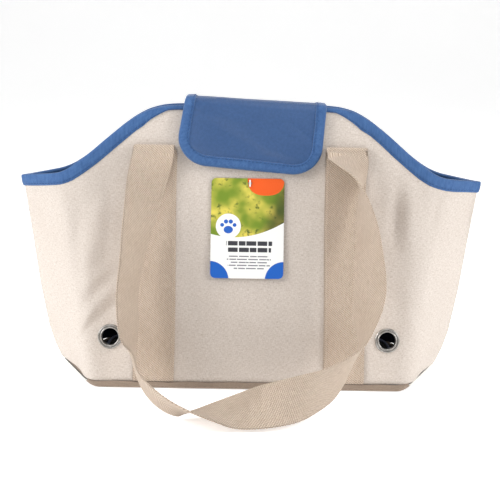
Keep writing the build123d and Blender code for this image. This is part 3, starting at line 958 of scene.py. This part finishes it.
def rgb(r, g, b):
    """Linear colour from screen values of 0 to 255."""
    return tuple(((v / 255 + 0.055) / 1.055) ** 2.4 if v > 10 else v / 255 / 12.92 for v in (r, g, b))


def canvas(name, light, mid, dark):
    m = Mat(name, Roughness=0.92, Specular_IOR_Level=0.15, Sheen_Weight=0.15, Sheen_Roughness=0.5)
    x, y, _ = m.xy(m.uv)
    warp = m.noise(m.uv, 260, 2)
    p = 2 * math.pi / 0.0011
    weave = ((x + warp * 0.0004) * p).sin() * ((y + warp * 0.0004) * p).sin()
    slub_x = m.noise(m.uv, 1300, 3, 0.6, (0.22, 1, 1))
    slub_y = m.noise(m.uv, 1300, 3, 0.6, (1, 0.3, 1))
    slub = (slub_x + slub_y) * 0.5
    broad = m.noise(m.uv, 30, 4, 0.6)
    fleck = m.noise(m.uv, 800, 2, 0.55, (0.45, 1, 1))
    col = m.mix(slub.ramp(0.36, 0.64), mid, light)
    col = m.mix(fleck.ramp(0.60, 0.76) * 0.55, col, dark)
    col = m.mix(broad.ramp(0.35, 0.75) * 0.22, col, mid)
    m.color(col)
    m.bump(weave * 0.35 + slub * 1.2 + fleck * 0.4, 0.0004, 0.8)
    return m.mat


def webbing(name, light, dark):
    m = Mat(name, Roughness=0.85, Specular_IOR_Level=0.2, Sheen_Weight=0.2, Sheen_Roughness=0.4)
    x, y, _ = m.xy(m.uv)
    warp = m.noise(m.uv, 180, 2)
    rib = ((x * 0.75 + y + warp * 0.0005) * (2 * math.pi / 0.0022)).sin()
    cross = ((y * 0.6 - x) * (2 * math.pi / 0.0019)).sin()
    knot = rib * 0.65 + cross * 0.35
    tone = m.noise(m.uv, 500, 2, 0.6, (1, 0.3, 1))
    broad = m.noise(m.uv, 25, 2)
    col = m.mix((knot * 0.42 + 0.5 + (tone - 0.5) * 0.6).ramp(0.05, 0.95), dark, light)
    col = m.mix(broad.ramp(0.4, 0.75) * 0.2, col, dark)
    m.color(col)
    m.bump(knot * 0.9 + tone * 0.4, 0.0006, 1.0)
    return m.mat


def twill(name, light, dark, rough=0.75, sheen=0.35, pitch=0.0012, spec=0.3):
    m = Mat(name, Roughness=rough, Specular_IOR_Level=spec, Sheen_Weight=sheen, Sheen_Roughness=0.35)
    x, y, _ = m.xy(m.uv)
    rib = ((x + y) * (2 * math.pi / pitch)).sin()
    tone = m.noise(m.uv, 350, 3, 0.6)
    broad = m.noise(m.uv, 30, 2)
    col = m.mix((rib * 0.22 + 0.5 + (tone - 0.5) * 0.9).ramp(0.15, 0.85), dark, light)
    col = m.mix(broad.ramp(0.4, 0.8) * 0.3, col, dark)
    m.color(col)
    m.bump(rib * 0.5 + tone * 0.5, 0.0002, 0.8)
    return m.mat


def plain(name, size, detail, ramp, dark, light, **values):
    """A material of two close tones."""
    m = Mat(name, **values)
    m.color(m.mix(m.noise(m.obj, size, detail).ramp(*ramp), dark, light))
    return m


def thread(name, colour):
    dark = tuple(v * 0.75 for v in colour)
    return plain(name, 900, 2, (0.3, 0.7), dark, colour, Roughness=0.6, Specular_IOR_Level=0.3).mat


CANVAS = canvas("canvas_weave", rgb(223, 214, 206), rgb(199, 187, 176), rgb(148, 126, 106))
# the base strip uses the wall canvas in darker tones: painted shade under the overhanging seam
SHADED_BASE_CANVAS = canvas("base_canvas_painted_shade", rgb(160, 143, 128), rgb(142, 125, 110), rgb(112, 94, 78))
WEBBING = webbing("webbing_twill", rgb(226, 209, 192), rgb(180, 158, 137))
TAPE = twill("binding_twill", rgb(74, 113, 164), rgb(44, 78, 128))
FLAP = twill("flap_satin", rgb(56, 91, 140), rgb(44, 76, 122), rough=0.45, sheen=0.12, pitch=0.0007, spec=0.4)
LINING = twill("lining_weave", rgb(34, 40, 62), rgb(20, 24, 42), rough=0.6, sheen=0.1, pitch=0.0008)
THREAD_CREAM = thread("thread_cream", rgb(222, 206, 188))
THREAD_BLUE = thread("thread_blue", rgb(44, 78, 128))
CUSHION = twill("cushion_cover", rgb(132, 136, 158), rgb(104, 108, 132), rough=0.7, sheen=0.2,
                pitch=0.0011)
FOAM = plain("foam_sheet", 300, 3, (0.3, 0.7), rgb(214, 212, 204), rgb(232, 230, 222), Roughness=0.95).mat
PIN = plain("tag_pin_plastic", 400, 2, (0.3, 0.7), rgb(226, 226, 224), rgb(240, 240, 238),
            Roughness=0.35, Specular_IOR_Level=0.5).mat
BOARD = plain("board_sheet", 200, 3, (0.3, 0.7), rgb(60, 58, 56), rgb(74, 72, 70), Roughness=0.7).mat
metal = plain("satin_nickel", 260, 3, (0.3, 0.7), rgb(158, 155, 151), rgb(186, 183, 179),
              Metallic=1.0, Roughness=0.3)
metal.link(metal.noise(metal.obj, 500, 3) * 0.2 + 0.2, "Roughness")
METAL = metal.mat
hook = plain("touch_tape", 900, 2, (0.35, 0.65), rgb(40, 62, 102), rgb(62, 88, 132),
             Roughness=0.9, Sheen_Weight=0.4)
hook.bump(hook.noise(hook.obj, 1100, 2), 0.0008)
HOOK = hook.mat


def tag_print():
    """Printed card: abstract green picture, orange corner, paw, blue corners, grey lines for text."""
    m = Mat("tag_card_print", Roughness=0.32, Specular_IOR_Level=0.5)
    x, y, _ = m.xy(m.uv)
    x, y = x * 1000, y * 1000
    blur = m.noise(m.uv, 45, 2, 0.4)
    leaf = m.noise(m.uv, 150, 2, 0.6)
    col = m.mix(blur.ramp(0.35, 0.7), rgb(116, 142, 42), rgb(232, 214, 96))
    col = m.mix((leaf * 0.6 + blur * 0.4).ramp(0.52, 0.66), col, rgb(66, 92, 34))
    shade = (x - y * 0.4 - 14).ramp(-6, 12)
    col = m.mix(shade * 0.75, col, rgb(44, 52, 34))
    white, blue = rgb(244, 244, 242), rgb(28, 96, 190)
    curve = y + 8 + (x + 14) * (x + 14) * -0.006
    col = m.mix(curve.less(-1.0), col, white)
    tab = (((x - 18.0).abs() / 18.4).op("POWER", 2.5) + ((y - 50).abs() / 17.0).op("POWER", 2.5)).less(1.0)
    col = m.mix(tab, col, rgb(238, 96, 34))
    paw_x = x + 19
    col = m.mix((paw_x * paw_x + (y - 2) * (y - 2)).root().less(12.5), col, white)
    paw = (paw_x * paw_x + (y + 1.5) * (y + 1.5) * 1.5).root().less(4.6)
    for across, up, size in ((6.2, 3.2, 1.9), (2.4, 6.6, 2.1)):
        toe_x, toe_y = paw_x.abs() - across, y - up
        paw = paw.max((toe_x * toe_x + toe_y * toe_y).root().less(size))
    col = m.mix(paw, col, rgb(40, 96, 190))
    for up, half, thick, tone in ((-15, 23, 2.2, 60), (-21.5, 22, 2.2, 60), (-28, 20, 0.6, 130),
                                  (-31, 22, 0.6, 130), (-34, 18, 0.6, 130), (-37, 21, 0.6, 130),
                                  (-40, 15, 0.6, 130)):
        line = (y - up).abs().less(thick) * (x - 2).abs().less(half)
        gaps = ((x * 1.7 + up).sin() + (x * 0.63 + up * 2).sin()).less(1.35)
        col = m.mix(line * gaps, col, rgb(tone, tone, tone + 6))
    side_x, low_y = x.abs() - 37, y + 52
    col = m.mix((side_x * side_x + low_y * low_y).root().less(19), col, blue)
    m.color(col)
    return m.mat


TAG = tag_print()

# words in a piece's name, its material and its slot; the first row that fits counts
LOOKS = [(("stitches", "binding"), THREAD_BLUE, "binding"), (("stitches",), THREAD_CREAM, "webbing"),
         (("strap",), WEBBING, "webbing"), (("handle",), WEBBING, "webbing"),
         (("base_panel",), SHADED_BASE_CANVAS, "base_canvas"), (("flap_shell",), FLAP, "flap_cloth"),
         (("swing_tag",), TAG, "tag_card"), (("eyelets",), METAL, "eyelet"),
         (("cushion",), CUSHION, "cushion"), (("patch",), HOOK, "touch_tape"), (("panel",), CANVAS, "canvas"),
         (("padding",), FOAM, "foam"), (("lining",), LINING, "lining"), (("binding",), TAPE, "binding")]
for name, obj in pieces.items():
    material, slot = next(look for words, *look in LOOKS if all(word in name for word in words))
    obj.data.materials.clear()
    obj.data.materials.append(material)

for node, material in (("eyelet_washers", METAL), ("swing_tag_pin", PIN), ("base_board", BOARD)):
    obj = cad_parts[node]
    obj.data.materials.clear()
    obj.data.materials.append(material)

# ---- floor, light, camera
def sweep(name):
    """Floor that turns up into a pale backdrop."""
    line = [(-4.0, 0.0), (2.6, 0.0)]
    for ang in np.linspace(0, math.pi / 2, 13)[1:]:
        line.append((2.6 + 1.2 * math.sin(ang), 1.2 - 1.2 * math.cos(ang)))
    line.append((3.8, 5.0))
    verts = [(x, y * 1000, z * 1000 - 0.6) for y, z in line for x in (-6000, 6000)]
    faces = [(2 * k, 2 * k + 1, 2 * k + 3, 2 * k + 2) for k in range(len(line) - 1)]
    return mesh(name, verts, faces)


floor = sweep("floor")
fm = Mat("floor_pale", Roughness=0.9, Specular_IOR_Level=0.1, Emission_Strength=0.42)
fm.bsdf.inputs["Emission Color"].default_value = (1, 1, 1, 1)
fm.color(fm.mix(fm.noise(fm.obj, 2, 2).ramp(0.2, 0.8), rgb(246, 246, 246), rgb(249, 249, 249)))
floor.data.materials.append(fm.mat)
floor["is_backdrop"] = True

world = bpy.data.worlds.new("studio")
bpy.context.scene.world = world
world.use_nodes = True
glow = world.node_tree.nodes["Background"]
glow.inputs["Color"].default_value = (1, 1, 1, 1)
glow.inputs["Strength"].default_value = 0.34


def lamp(name, place, target, size, power):
    light = bpy.data.lights.new(name, "AREA")
    light.shape = "RECTANGLE"
    light.size, light.size_y = size
    light.energy = power
    obj = bpy.data.objects.new(name, light)
    obj.location = place
    obj.rotation_euler = (Vector(target) - Vector(place)).to_track_quat("-Z", "Y").to_euler()
    bpy.context.scene.collection.objects.link(obj)
    obj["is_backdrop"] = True


lamp("key_left", (-1.35, -0.5, 0.8), (0, 0, 0.12), (0.5, 0.9), 18)
lamp("fill_right", (1.4, -0.5, 0.7), (0, 0, 0.12), (0.5, 0.9), 15)
lamp("top_soft", (0, -0.1, 1.6), (0, 0, 0.1), (1.2, 0.8), 9)

camera = bpy.data.cameras.new("photo_camera")
camera.lens = 72
camera.sensor_width = 36
cam = bpy.data.objects.new("photo_camera", camera)
away = Vector((0, -COS, SIN))
aim = Vector(panel_point(0, 138.5, 0) / 1000)
cam.location = aim + away * 1.0
look = (-away).to_track_quat("-Z", "Y")
cam.rotation_euler = (look @ Quaternion((0, 0, 1), math.radians(0.9))).to_euler()
bpy.context.scene.collection.objects.link(cam)
bpy.context.scene.camera = cam
bpy.context.scene.view_settings.view_transform = "Standard"

low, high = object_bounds()
